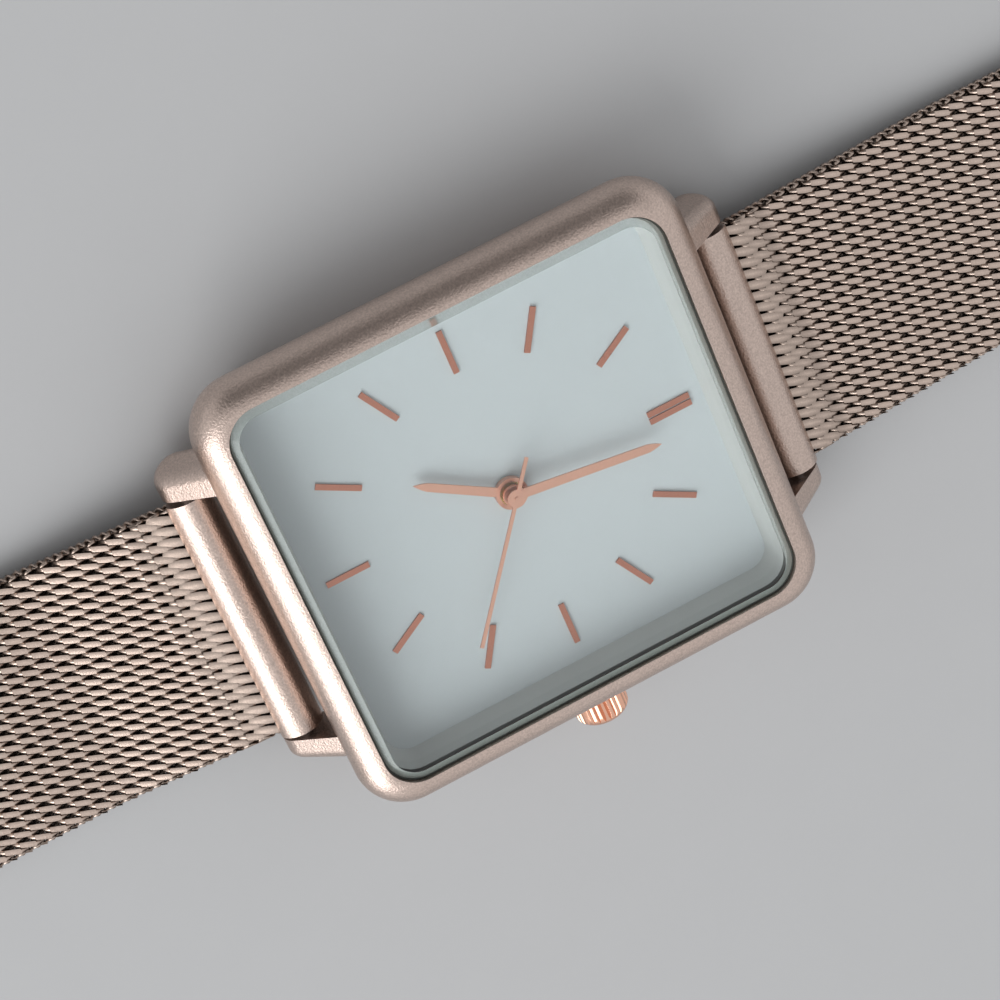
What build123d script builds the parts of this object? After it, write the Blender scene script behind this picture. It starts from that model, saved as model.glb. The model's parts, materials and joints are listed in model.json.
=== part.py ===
from build123d import *
import math
import os

# A square quartz wristwatch on a woven metal strap, lying face up and unfastened.
# X runs to 3 o'clock, Y to 12 o'clock and Z up. The origin is the middle of the
# case back's outer face, which rests on the table at z = 0. Millimetres.

os.makedirs("parts", exist_ok=True)

# Clearances shared by all pieces
running_gap = 0.03
press_gap = 0.01
loose_gap = 0.05
overrun = 1.0

# Case: a slab with a fully rolled edge, over a tapered lower case
case_width = 30.94
case_length = 32.65
rim_roll = 2.0
rim_flat = 0.02
rim_corner = 3.4
rim_wall = 1.77
glass_corner = 2.3
lower_inset = 1.15
lower_draft = 1.3
lower_corner = 2.6
lower_wall = 1.3
inner_corner = 1.2
seat_ledge = 0.22

# Heights of the stack, from the back up to the glass
back_thickness = 0.8
under_movement = 0.15
movement_height = 3.05
dial_play = 0.05
dial_thickness = 0.4
dial_to_glass = 2.05
glass_thickness = 1.3
glass_recess = 0.15
glass_bevel = 0.5
glass_bevel_depth = 0.25
gasket_wall = 0.12

movement_bottom = back_thickness + under_movement
movement_top = movement_bottom + movement_height
dial_bottom = movement_top + dial_play
dial_top = dial_bottom + dial_thickness
glass_bottom = dial_top + dial_to_glass
glass_top = glass_bottom + glass_thickness
case_top = glass_top + glass_recess
rim_bottom = case_top - 2 * rim_roll
lower_width = case_width - 2 * lower_inset
lower_length = case_length - 2 * lower_inset
open_width = case_width - 2 * rim_wall
open_length = case_length - 2 * rim_wall
pocket_width = open_width - 2 * seat_ledge
pocket_length = open_length - 2 * seat_ledge
base_width = lower_width - 2 * lower_draft
base_length = lower_length - 2 * lower_draft
inner_width = base_width - 2 * lower_wall
inner_length = base_length - 2 * lower_wall

# Lugs and spring bars, set by the width of the strap
strap_width = 17.4
bar_gap = 0.05
bar_height = 2.85
bar_radius = 1.5
bar_length = strap_width
bar_bore = 0.62
lug_round = 1.5
lug_setback = 0.12
lug_drop = 0.12
lug_run = 3.6
lug_rise = 43
lug_thickness = 2.0
lug_lean_shares = (0.28, 0.21)
lug_side_gap = 0.33
lug_edge = 0.9
spring_bar_radius = 0.58
spring_bar_end_play = 0.3
pin_radius = 0.4
pin_depth = 0.8
bar_reach = case_length / 2 + bar_radius + bar_gap
lug_inner = bar_length / 2 + lug_side_gap

# Case back and its gasket
back_inset = 0.1
back_edge = 0.25
back_lip_height = 1.0
back_lip_wall = 0.8
back_gasket_width = 0.45
back_gasket_height = 0.25

# Dial, reflector ring and hour markers
flange_slope = 0.45
flange_foot = 0.2
flange_corner = 1.5
dial_margin = 0.12
dial_hole = 0.86
foot_radius = 0.35
foot_length = 0.9
foot_reach = 7.6
marker_length = 2.92
marker_width = 0.38
marker_height = 0.14
marker_gap = 0.11
marker_margin_x = 1.24
marker_margin_y = 0.915

# Hands: angles run clockwise from 12 o'clock
hour_angle = 212.9
minute_angle = 8.3
second_angle = 126.1
hour_length = 6.4
minute_length = 9.83
second_length = 9.9
second_tail = 2.7
hand_root_width = 0.62
hand_shoulder_width = 0.54
hand_point = 0.9
hand_point_bulge_share = 0.62
second_width = 0.24
hand_thickness = 0.12
hour_hand_height = 0.5
minute_hand_height = 1.05
second_hand_height = 1.5
hub_depth = 0.25
hour_hub_depth = 0.45
hour_hub_radius = 1.05
minute_hub_radius = 0.7
second_hub_radius = 0.58
second_pip_radius = 0.14

# Crown, its tube, gasket and stem
crown_height = 3.0
crown_radius = 1.82
crown_inset = 1.0
crown_head = 3.05
crown_skirt = 0.7
crown_skirt_radius = 1.4
crown_dome = 0.75
crown_flutes = 28
flute_radius = 0.12
crown_travel = 1.0
tube_radius = 0.95
tube_bore = 0.6
tube_inside = 0.3
tube_reach = 2.1
stem_radius = 0.45
stem_pilot_radius = 0.3
crown_gasket_length = 0.4
crown_gasket_wall = 0.17
crown_start = case_width / 2 - crown_inset
crown_end = crown_start + crown_skirt + crown_head

# Movement: plate, bridge and going train
movement_half_x = 8.6
movement_half_y = 8.2
movement_corner = 2.0
plate_floor = 0.6
plate_recess = 0.65
recess_half = 5.9
bridge_thickness = 0.4
train_module = 0.098
train_pinion = 6
third_teeth = 45
centre_teeth = 48
fourth_teeth = 30
fifth_teeth = 36
rotor_module = 0.09
fifth_distance = 2.5
third_bearing = 110
fifth_bearing = -30
rotor_bearing = -80
wheel_thickness = 0.15
pinion_thickness = 0.28
level_step = 0.32
level_start = 0.55
arbor_radius = 0.12
fourth_arbor_radius = 0.14
pivot_depth = 0.2
centre_bore = 0.2
centre_pipe_radius = 0.3
cannon_bore = 0.33
cannon_radius = 0.46
hour_bore = 0.5
hour_pipe_radius = 0.78
magnet_radius = 0.7
magnet_height = 0.5
stator_hole = 0.95

# Motion works under the dial
motion_module = 0.12
cannon_teeth = 10
minute_teeth = 30
minute_pinion_teeth = 8
hour_teeth = 32
setting_teeth = 18
minute_bearing = -40
motion_wheel = 0.15
motion_lift = 0.06
post_radius = 0.2

# Tooth form, as shares of the module and of the tooth pitch
tip_share = 0.85
root_share = 1.1
tip_width_share = 0.24
root_width_share = 0.6

# Keyless works, electric parts and holder
clutch_radius = 0.6
clutch_length = 0.8
clutch_start = 5.95
clutch_teeth = 10
clutch_travel = 0.4
lever_arm = 2.4
lever_width = 0.5
lever_thickness = 0.2
lever_finger = 0.14
stem_groove = 0.4
stem_groove_radius = 0.28
stem_collar = 0.2
stem_inner = 4.8
stem_hold = 0.9
battery_radius = 3.4
battery_height = 2.15
battery_x = -4.7
battery_y = -4.0
coil_y = -6.6
coil_x = 3.6
coil_length = 5.2
coil_radius = 0.95
core_half = 0.3
core_overlap = 1.0
stator_thickness = 0.4
stator_half = 1.35
board_thickness = 0.3
board_y = 3.4
crystal_can_radius = 0.6
crystal_can_length = 4.6
screw_radius = 0.55
screw_head = 0.25
screw_shank = 0.3
clamp_thickness = 0.15
clamp_width = 1.4
holder_play = 0.05

# Strap: two woven halves, each in flat lengths that fold on round knuckles
strap_thickness = 1.3
strap_rest = 1.15
strap_slot = 0.24
knuckle_gap = 0.05
rib_pitch = 1.05
rib_depth = 0.25
lengths_12 = [17.2, 24.0, 22.0]
lengths_6 = [12.0, 24.0, 58.0, 20.0]

# Clasp
sheet = 0.5
side_gap = 0.15
sleeve_length = 4.0
clasp_pin_radius = 0.5
cover_length = 15.0
cover_height = 2.75
cover_ear = 1.1
roof_start = 2.3
hook_length = 9.0
hook_width_share = 0.6
hook_drop = 0.25
slider_length = 15.0
slider_start = 14.0
slider_wall = 0.6
slider_height = 3.2
hook_bar_radius = 0.5
lock_pin_radius = 0.4
lock_length = 8.5
lock_ridge = 0.25
tip_length = 3.2
tip_sheet = 0.35


def save(piece, name):
    """Label a finished piece and write it under the same name."""
    piece.part.label = name
    export_step(piece.part, f"parts/{name}.step")


def rounded(width, length, corner, height):
    """A rectangle with round corners, level at the given height."""
    with BuildSketch(Plane.XY.offset(height)) as outline:
        RectangleRounded(width, length, corner)
    return outline.sketch


def disc(radius, height, centre=(0, 0)):
    """A level circle at a height, for turned pieces on an upright axis."""
    with BuildSketch(Plane.XY.offset(height)) as outline:
        with Locations(centre):
            Circle(radius)
    return outline.sketch


def disc_x(radius, start, height=0, across=0):
    """A circle that faces along X at a place on that axis."""
    with BuildSketch(Plane.YZ.offset(start)) as outline:
        with Locations((across, height)):
            Circle(radius)
    return outline.sketch


def gear(teeth, module, height, centre=(0, 0), phase=0):
    """A toothed outline, with one tooth at the angle given by phase in degrees."""
    pitch = 360 / teeth
    radius = module * teeth / 2
    tip = radius + tip_share * module
    root = radius - root_share * module
    points = []
    for tooth in range(teeth):
        middle = phase + tooth * pitch
        for reach, turn in (
            (root, -root_width_share),
            (tip, -tip_width_share),
            (tip, tip_width_share),
            (root, root_width_share),
        ):
            angle = math.radians(middle + turn * pitch / 2)
            points.append(
                (centre[0] + reach * math.cos(angle), centre[1] + reach * math.sin(angle))
            )
    with BuildSketch(Plane.XY.offset(height)) as outline:
        with BuildLine():
            Polyline(*points, close=True)
        make_face()
    return outline.sketch


def place(centre, bearing, distance):
    """The point at a distance and a bearing in degrees from a centre."""
    angle = math.radians(bearing)
    return (centre[0] + distance * math.cos(angle), centre[1] + distance * math.sin(angle))


def meshed(bearing, phase, teeth, partner):
    """The partner's phase that puts a gap opposite each tooth met along the bearing."""
    pitch = 360 / teeth
    offset = ((bearing - phase + pitch / 2) % pitch - pitch / 2) / pitch
    return bearing + 180 + (0.5 + offset) * 360 / partner


# Case body

# Each lug is a round-ended arm that climbs from the bar to the rim, with parallel
# inner faces and an outer face that leans out towards the case and the table
lug_tip = (bar_reach - lug_setback, bar_height - lug_drop)
with BuildPart() as lug:
    with BuildSketch(Plane.YZ.offset(lug_inner)):
        with Locations(lug_tip):
            Circle(lug_round)
        with Locations(place(lug_tip, 180 - lug_rise, lug_run / 2)):
            Rectangle(lug_run, 2 * lug_round, rotation=-lug_rise)
    extrude(amount=2 * lug_thickness)
    outer_face = Plane(
        origin=(lug_inner + lug_thickness, lug_tip[0], lug_tip[1]),
        x_dir=(-lug_lean_shares[0], 1, 0),
        z_dir=(1, lug_lean_shares[0], lug_lean_shares[1]),
    )
    split(bisect_by=outer_face, keep=Keep.BOTTOM)
    fillet(lug.faces().sort_by(Axis.X)[-1].edges(), radius=lug_edge)

with BuildPart() as case_body:
    extrude(rounded(case_width, case_length, rim_corner, rim_bottom), amount=2 * rim_roll)
    fillet(case_body.faces().filter_by(Axis.Z).edges(), radius=rim_roll - rim_flat)
    loft(
        [
            rounded(base_width, base_length, lower_corner - lower_draft, back_thickness).face(),
            rounded(lower_width, lower_length, lower_corner, rim_bottom + rim_roll / 2).face(),
        ]
    )
    add(lug.part)
    add(lug.part.mirror(Plane.YZ))
    add(lug.part.mirror(Plane.XZ))
    add(lug.part.mirror(Plane.YZ).mirror(Plane.XZ))
    extrude(
        rounded(open_width, open_length, glass_corner, glass_bottom),
        amount=glass_thickness + glass_recess + overrun,
        mode=Mode.SUBTRACT,
    )
    extrude(
        rounded(pocket_width, pocket_length, glass_corner - seat_ledge, dial_bottom),
        amount=dial_thickness + dial_to_glass + overrun,
        mode=Mode.SUBTRACT,
    )
    extrude(
        rounded(inner_width, inner_length, inner_corner, back_thickness - overrun),
        amount=dial_bottom - back_thickness + 2 * overrun,
        mode=Mode.SUBTRACT,
    )
    # Groove for the back gasket
    extrude(
        rounded(
            inner_width + 2 * back_gasket_width,
            inner_length + 2 * back_gasket_width,
            inner_corner + back_gasket_width,
            back_thickness,
        ),
        amount=back_gasket_height,
        mode=Mode.SUBTRACT,
    )
    # Hole for the crown tube, and blind holes for the spring bars
    extrude(
        disc_x(tube_radius + press_gap, 0, crown_height),
        amount=case_width / 2 + overrun,
        mode=Mode.SUBTRACT,
    )
    # Room for the crown's skirt under the rolled rim
    extrude(
        disc_x(crown_skirt_radius + 2 * loose_gap, crown_start - 2 * loose_gap, crown_height),
        amount=case_width / 2,
        mode=Mode.SUBTRACT,
    )
    for side in (-1, 1):
        extrude(
            disc_x(pin_radius + running_gap, 0, bar_height, side * bar_reach),
            amount=lug_inner + pin_depth + loose_gap,
            both=True,
            mode=Mode.SUBTRACT,
        )
save(case_body, "case_body")

# Case back with its snap lip, and the gasket that the lip holds

with BuildPart() as case_back:
    plate_width = base_width - 2 * back_inset
    plate_length = base_length - 2 * back_inset
    extrude(
        rounded(plate_width, plate_length, lower_corner - lower_draft - back_inset, 0),
        amount=back_thickness,
    )
    chamfer(case_back.faces().sort_by(Axis.Z)[0].edges(), length=back_edge)
    lip_width = inner_width - 2 * press_gap
    lip_length = inner_length - 2 * press_gap
    extrude(
        rounded(lip_width, lip_length, inner_corner, back_thickness), amount=back_lip_height
    )
    extrude(
        rounded(
            lip_width - 2 * back_lip_wall,
            lip_length - 2 * back_lip_wall,
            inner_corner - back_lip_wall / 2,
            back_thickness,
        ),
        amount=back_lip_height,
        mode=Mode.SUBTRACT,
    )
save(case_back, "case_back")

with BuildPart() as back_gasket:
    extrude(
        rounded(
            inner_width + 2 * back_gasket_width - 2 * loose_gap,
            inner_length + 2 * back_gasket_width - 2 * loose_gap,
            inner_corner + back_gasket_width - loose_gap,
            back_thickness,
        ),
        amount=back_gasket_height - press_gap,
    )
    extrude(
        rounded(inner_width, inner_length, inner_corner, back_thickness),
        amount=back_gasket_height,
        mode=Mode.SUBTRACT,
    )
save(back_gasket, "back_gasket")

# Glass and its gasket

glass_width = open_width - 2 * gasket_wall - 2 * press_gap
glass_length = open_length - 2 * gasket_wall - 2 * press_gap
with BuildPart() as crystal:
    extrude(
        rounded(glass_width, glass_length, glass_corner - gasket_wall, glass_bottom),
        amount=glass_thickness,
    )
    glass_face = crystal.faces().sort_by(Axis.Z)[-1]
    chamfer(
        glass_face.edges(),
        length=glass_bevel,
        length2=glass_bevel_depth,
        reference=glass_face,
    )
save(crystal, "crystal")

with BuildPart() as crystal_gasket:
    extrude(
        rounded(
            open_width - 2 * press_gap, open_length - 2 * press_gap, glass_corner, glass_bottom
        ),
        amount=glass_thickness - glass_bevel_depth,
    )
    extrude(
        rounded(
            glass_width + 2 * press_gap,
            glass_length + 2 * press_gap,
            glass_corner - gasket_wall,
            glass_bottom,
        ),
        amount=glass_thickness,
        mode=Mode.SUBTRACT,
    )
save(crystal_gasket, "crystal_gasket")

# Reflector ring that stands on the dial and leans out to the glass

ring_width = pocket_width - 2 * loose_gap
ring_length = pocket_length - 2 * loose_gap
foot_inset = flange_slope + flange_foot
with BuildPart() as flange_ring:
    extrude(
        rounded(ring_width, ring_length, glass_corner - seat_ledge, dial_top),
        amount=dial_to_glass,
    )
    loft(
        [
            rounded(
                ring_width - 2 * foot_inset, ring_length - 2 * foot_inset, flange_corner, dial_top
            ).face(),
            rounded(
                ring_width - 2 * flange_foot,
                ring_length - 2 * flange_foot,
                glass_corner - seat_ledge - flange_foot,
                glass_bottom,
            ).face(),
        ],
        mode=Mode.SUBTRACT,
    )
save(flange_ring, "flange_ring")

# Dial on two feet, with the hole for the hands

feet = [(-foot_reach, foot_reach - movement_corner), (foot_reach, movement_corner - foot_reach)]
with BuildPart() as dial:
    extrude(
        rounded(
            pocket_width - 2 * dial_margin,
            pocket_length - 2 * dial_margin,
            glass_corner - seat_ledge - dial_margin,
            dial_bottom,
        ),
        amount=dial_thickness,
    )
    extrude(disc(dial_hole, dial_bottom), amount=dial_thickness, mode=Mode.SUBTRACT)
    for foot in feet:
        extrude(disc(foot_radius, dial_bottom, foot), amount=-foot_length)
save(dial, "dial")

marker_reach_x = ring_width / 2 - foot_inset - marker_margin_x
marker_reach_y = ring_length / 2 - foot_inset - marker_margin_y
with BuildPart() as hour_markers:
    for hour in range(12):
        angle = math.radians(90 - 30 * hour)
        reach = 1 / math.hypot(
            math.cos(angle) / marker_reach_x, math.sin(angle) / marker_reach_y
        )
        middle = reach - marker_length / 2
        shifts = (0,) if hour else (-1, 1)
        for shift in shifts:
            across = shift * (marker_width + marker_gap) / 2
            x = middle * math.cos(angle) + across * math.sin(angle)
            y = middle * math.sin(angle) - across * math.cos(angle)
            with BuildSketch(Plane.XY.offset(dial_top)):
                with Locations(Location((x, y), math.degrees(angle))):
                    Rectangle(marker_length, marker_width)
            extrude(amount=marker_height)
save(hour_markers, "hour_markers")

# Levels and places of the going train, from the back towards the dial

centre = (0, 0)
train_distance = train_module * (train_pinion + third_teeth) / 2
centre_module = 2 * train_distance / (train_pinion + centre_teeth)
fourth_module = 2 * fifth_distance / (train_pinion + fourth_teeth)
rotor_distance = rotor_module * (train_pinion + fifth_teeth) / 2
bridge_top = movement_bottom + bridge_thickness
level_a = movement_bottom + level_start
level_b = level_a + level_step
level_c = level_b + level_step
level_d = level_c + level_step
plate_bottom = level_d + pinion_thickness + loose_gap
plate_top = plate_bottom + plate_floor
third_axis = place(centre, third_bearing, train_distance)
fifth_axis = place(centre, fifth_bearing, fifth_distance)
rotor_axis = place(fifth_axis, rotor_bearing, rotor_distance)
third_phase = meshed(third_bearing, 0, train_pinion, third_teeth)
centre_phase = meshed(third_bearing + 180, 0, train_pinion, centre_teeth)
fourth_phase = meshed(fifth_bearing + 180, 0, train_pinion, fourth_teeth)
fifth_phase = meshed(rotor_bearing + 180, 0, train_pinion, fifth_teeth)

motion_bottom = plate_top + motion_lift
motion_distance = motion_module * (cannon_teeth + minute_teeth) / 2
hour_module = 2 * motion_distance / (minute_pinion_teeth + hour_teeth)
minute_axis = place(centre, minute_bearing, motion_distance)
setting_distance = motion_module * (minute_teeth + setting_teeth) / 2
setting_axis = (
    minute_axis[0] + math.sqrt(setting_distance**2 - minute_axis[1] ** 2),
    0,
)
setting_bearing = math.degrees(
    math.atan2(-minute_axis[1], setting_axis[0] - minute_axis[0])
)
minute_phase = meshed(minute_bearing, 0, cannon_teeth, minute_teeth)
setting_phase = meshed(setting_bearing, minute_phase, minute_teeth, setting_teeth)
hour_phase = meshed(minute_bearing + 180, 0, minute_pinion_teeth, hour_teeth)
hour_wheel_bottom = motion_bottom + motion_wheel + running_gap
post_top = movement_top - running_gap


# Hands, with the wheels that carry them

def hand_outline(length, height):
    """A baton that narrows a little towards a short rounded point, along +X."""
    shoulder = length - hand_point
    half = hand_shoulder_width / 2
    bulge = (length - hand_point / 2, hand_point_bulge_share * half)
    with BuildSketch(Plane.XY.offset(height)) as outline:
        with BuildLine():
            ThreePointArc((shoulder, half), bulge, (length, 0))
            ThreePointArc((length, 0), (bulge[0], -bulge[1]), (shoulder, -half))
            Polyline(
                (shoulder, -half),
                (0, -hand_root_width / 2),
                (0, hand_root_width / 2),
                (shoulder, half),
            )
        make_face()
    return outline.sketch


hour_hand_bottom = dial_top + hour_hand_height
with BuildPart() as hour_hand:
    extrude(hand_outline(hour_length, hour_hand_bottom), amount=hand_thickness)
    extrude(disc(hour_hub_radius, hour_hand_bottom + hand_thickness), amount=-hour_hub_depth)
    extrude(
        disc(hour_pipe_radius + press_gap, dial_top),
        amount=hour_hand_height + overrun,
        mode=Mode.SUBTRACT,
    )
hour_hand.part = hour_hand.part.rotate(Axis.Z, 90 - hour_angle)
save(hour_hand, "hour_hand")

minute_hand_bottom = dial_top + minute_hand_height
with BuildPart() as minute_hand:
    extrude(hand_outline(minute_length, minute_hand_bottom), amount=hand_thickness)
    extrude(disc(minute_hub_radius, minute_hand_bottom + hand_thickness), amount=-hub_depth)
    extrude(
        disc(cannon_radius + press_gap, dial_top),
        amount=minute_hand_height + overrun,
        mode=Mode.SUBTRACT,
    )
minute_hand.part = minute_hand.part.rotate(Axis.Z, 90 - minute_angle)
save(minute_hand, "minute_hand")

second_hand_bottom = dial_top + second_hand_height
arbor_top = second_hand_bottom + hand_thickness / 2
with BuildPart() as second_hand:
    with BuildSketch(Plane.XY.offset(second_hand_bottom)):
        with Locations(((second_length - second_tail) / 2, 0)):
            Rectangle(second_length + second_tail, second_width)
        Circle(second_hub_radius)
    extrude(amount=hand_thickness)
    extrude(disc(fourth_arbor_radius * 2, second_hand_bottom), amount=-hub_depth)
    extrude(
        disc(fourth_arbor_radius + press_gap, second_hand_bottom - hub_depth),
        amount=hub_depth + hand_thickness / 2 + press_gap,
        mode=Mode.SUBTRACT,
    )
    extrude(
        disc(second_pip_radius, second_hand_bottom + hand_thickness), amount=hand_thickness / 2
    )
second_hand.part = second_hand.part.rotate(Axis.Z, 90 - second_angle)
save(second_hand, "second_hand")

with BuildPart() as fourth_wheel:
    extrude(
        gear(fourth_teeth, fourth_module, level_a, centre, fourth_phase), amount=wheel_thickness
    )
    extrude(gear(train_pinion, train_module, level_b), amount=pinion_thickness)
    extrude(
        disc(fourth_arbor_radius, movement_bottom + pivot_depth),
        amount=arbor_top - movement_bottom - pivot_depth,
    )
save(fourth_wheel, "fourth_wheel")

with BuildPart() as centre_wheel:
    extrude(
        gear(centre_teeth, centre_module, level_d, centre, centre_phase), amount=wheel_thickness
    )
    pipe_top = dial_top
    extrude(disc(centre_pipe_radius, level_d), amount=pipe_top - level_d)
    extrude(
        disc(centre_bore, level_d - overrun),
        amount=pipe_top - level_d + 2 * overrun,
        mode=Mode.SUBTRACT,
    )
save(centre_wheel, "centre_wheel")

with BuildPart() as cannon_pinion:
    extrude(gear(cannon_teeth, motion_module, motion_bottom), amount=motion_wheel)
    cannon_top = minute_hand_bottom + hand_thickness
    extrude(disc(cannon_radius, motion_bottom), amount=cannon_top - motion_bottom)
    extrude(
        disc(cannon_bore, motion_bottom),
        amount=pipe_top - motion_bottom + loose_gap,
        mode=Mode.SUBTRACT,
    )
    extrude(
        disc(centre_bore, motion_bottom),
        amount=cannon_top - motion_bottom + overrun,
        mode=Mode.SUBTRACT,
    )
save(cannon_pinion, "cannon_pinion")

with BuildPart() as hour_wheel:
    extrude(
        gear(hour_teeth, hour_module, hour_wheel_bottom, centre, hour_phase), amount=motion_wheel
    )
    hour_pipe_top = hour_hand_bottom + hand_thickness
    extrude(disc(hour_pipe_radius, hour_wheel_bottom), amount=hour_pipe_top - hour_wheel_bottom)
    extrude(
        disc(hour_bore, hour_wheel_bottom - overrun),
        amount=hour_pipe_top - hour_wheel_bottom + 2 * overrun,
        mode=Mode.SUBTRACT,
    )
save(hour_wheel, "hour_wheel")

with BuildPart() as minute_wheel:
    extrude(
        gear(minute_teeth, motion_module, motion_bottom, minute_axis, minute_phase),
        amount=motion_wheel,
    )
    extrude(
        gear(minute_pinion_teeth, hour_module, motion_bottom, minute_axis),
        amount=2 * motion_wheel + running_gap,
    )
    extrude(
        disc(post_radius + running_gap, motion_bottom - overrun, minute_axis),
        amount=2 * motion_wheel + 2 * overrun,
        mode=Mode.SUBTRACT,
    )
save(minute_wheel, "minute_wheel")

with BuildPart() as setting_wheel:
    extrude(
        gear(setting_teeth, motion_module, motion_bottom, setting_axis, setting_phase),
        amount=motion_wheel,
    )
    extrude(
        disc(post_radius + running_gap, motion_bottom - overrun, setting_axis),
        amount=motion_wheel + 2 * overrun,
        mode=Mode.SUBTRACT,
    )
save(setting_wheel, "setting_wheel")

# Third wheel, fifth wheel and rotor

arbor_bottom = movement_bottom + pivot_depth
arbor_length = plate_bottom + pivot_depth - arbor_bottom
with BuildPart() as third_wheel:
    extrude(
        gear(third_teeth, train_module, level_b, third_axis, third_phase), amount=wheel_thickness
    )
    extrude(
        gear(train_pinion, centre_module, level_d, third_axis),
        amount=pinion_thickness - loose_gap,
    )
    extrude(disc(arbor_radius, arbor_bottom, third_axis), amount=arbor_length)
save(third_wheel, "third_wheel")

with BuildPart() as fifth_wheel:
    extrude(
        gear(fifth_teeth, rotor_module, level_c, fifth_axis, fifth_phase), amount=wheel_thickness
    )
    extrude(gear(train_pinion, fourth_module, level_a, fifth_axis), amount=pinion_thickness)
    extrude(disc(arbor_radius, arbor_bottom, fifth_axis), amount=arbor_length)
save(fifth_wheel, "fifth_wheel")

with BuildPart() as rotor:
    extrude(disc(magnet_radius, level_a, rotor_axis), amount=magnet_height)
    extrude(gear(train_pinion, rotor_module, level_c, rotor_axis), amount=pinion_thickness)
    extrude(disc(arbor_radius, arbor_bottom, rotor_axis), amount=arbor_length)
save(rotor, "rotor")

# Electric parts: stator, coil on its core, circuit board, quartz can, battery

fourth_reach = fourth_module * (fourth_teeth / 2 + tip_share)
fifth_reach = fourth_module * (train_pinion / 2 + tip_share)
stator_right = coil_x + coil_length / 2 + core_overlap
stator_left = coil_x - coil_length / 2 - core_overlap
with BuildPart() as stator:
    with BuildSketch(Plane.XY.offset(level_a)):
        with Locations(((stator_left + stator_right) / 2, rotor_axis[1])):
            Rectangle(stator_right - stator_left, 2 * stator_half)
        for leg in (stator_left + core_overlap / 2, stator_right - core_overlap / 2):
            with Locations((leg, (rotor_axis[1] + coil_y) / 2)):
                Rectangle(core_overlap, rotor_axis[1] - coil_y + 2 * core_half)
        with Locations(rotor_axis):
            Circle(stator_hole, mode=Mode.SUBTRACT)
        Circle(fourth_reach + 2 * loose_gap, mode=Mode.SUBTRACT)
        with Locations(fifth_axis):
            Circle(fifth_reach + 2 * loose_gap, mode=Mode.SUBTRACT)
    extrude(amount=stator_thickness)
save(stator, "stator")

with BuildPart() as coil_core:
    with BuildSketch(Plane.XY.offset(level_a + stator_thickness)):
        with Locations((coil_x, coil_y)):
            Rectangle(coil_length + 2 * core_overlap, 2 * core_half)
    extrude(amount=stator_thickness)
save(coil_core, "coil_core")

core_middle = level_a + 3 * stator_thickness / 2
with BuildPart() as coil_winding:
    extrude(disc_x(coil_radius, coil_x - coil_length / 2, core_middle, coil_y), amount=coil_length)
    with BuildSketch(Plane.YZ.offset(coil_x)):
        with Locations((coil_y, core_middle)):
            Rectangle(2 * core_half + 2 * press_gap, stator_thickness + 2 * press_gap)
    extrude(amount=coil_length, both=True, mode=Mode.SUBTRACT)
save(coil_winding, "coil_winding")

battery_axis = (battery_x, battery_y)
with BuildPart() as battery:
    extrude(disc(battery_radius, movement_bottom), amount=battery_height)
    chamfer(battery.faces().sort_by(Axis.Z)[0].edges(), length=4 * running_gap)
battery.part = battery.part.translate((battery_x, battery_y, 0))
save(battery, "battery")

screws = [
    (-movement_half_x + movement_corner, movement_half_y - movement_corner / 2),
    (movement_half_x - movement_corner, movement_half_y - movement_corner / 2),
    (movement_half_x - screw_radius - 3 * loose_gap, -2 * screw_radius),
]
board_length = movement_half_y - board_y - running_gap
with BuildPart() as circuit_board:
    with BuildSketch(Plane.XY.offset(level_a)):
        with Locations((0, board_y + board_length / 2)):
            Rectangle(2 * (movement_half_x - movement_corner), board_length)
        with Locations(third_axis):
            Circle(train_distance + loose_gap, mode=Mode.SUBTRACT)
        with Locations(*screws):
            Circle(screw_radius + 2 * loose_gap, mode=Mode.SUBTRACT)
    extrude(amount=board_thickness)
save(circuit_board, "circuit_board")

can_height = level_a + board_thickness + crystal_can_radius + press_gap
with BuildPart() as quartz_can:
    extrude(
        disc_x(
            crystal_can_radius,
            -crystal_can_length / 2,
            can_height,
            movement_half_y - 2 * crystal_can_radius,
        ),
        amount=crystal_can_length,
    )
    chamfer(quartz_can.faces().filter_by(Axis.X).edges(), length=crystal_can_radius / 4)
save(quartz_can, "quartz_can")

# Keyless works: stem, clutch and setting lever

pilot_end = clutch_start + clutch_length + 3 * loose_gap
groove_x = pilot_end + stem_collar
finger_x = groove_x + stem_groove / 2
stem_end = crown_start + tube_reach + stem_hold
with BuildPart() as stem:
    extrude(disc_x(stem_radius, pilot_end, crown_height), amount=stem_end - pilot_end)
    with BuildSketch(Plane.YZ.offset(groove_x)):
        with Locations((0, crown_height)):
            Circle(stem_radius + overrun)
            Circle(stem_groove_radius, mode=Mode.SUBTRACT)
    extrude(amount=stem_groove, mode=Mode.SUBTRACT)
    with BuildSketch(Plane.YZ.offset(stem_inner)):
        with Locations((0, crown_height)):
            Rectangle(2 * stem_pilot_radius, 2 * stem_pilot_radius)
    extrude(amount=pilot_end - stem_inner)
save(stem, "stem")

with BuildPart() as clutch_pinion:
    with BuildSketch(Plane.YZ.offset(clutch_start)):
        with Locations((0, crown_height)):
            Circle(clutch_radius)
            Rectangle(
                2 * (stem_pilot_radius + running_gap),
                2 * (stem_pilot_radius + running_gap),
                mode=Mode.SUBTRACT,
            )
    extrude(amount=clutch_length)
    with BuildSketch(Plane.YZ.offset(clutch_start)):
        with Locations((0, crown_height)):
            with PolarLocations(clutch_radius, clutch_teeth):
                Rectangle(clutch_radius / 3, clutch_radius / 4)
    extrude(amount=clutch_length / 3, mode=Mode.SUBTRACT)
save(clutch_pinion, "clutch_pinion")

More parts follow.
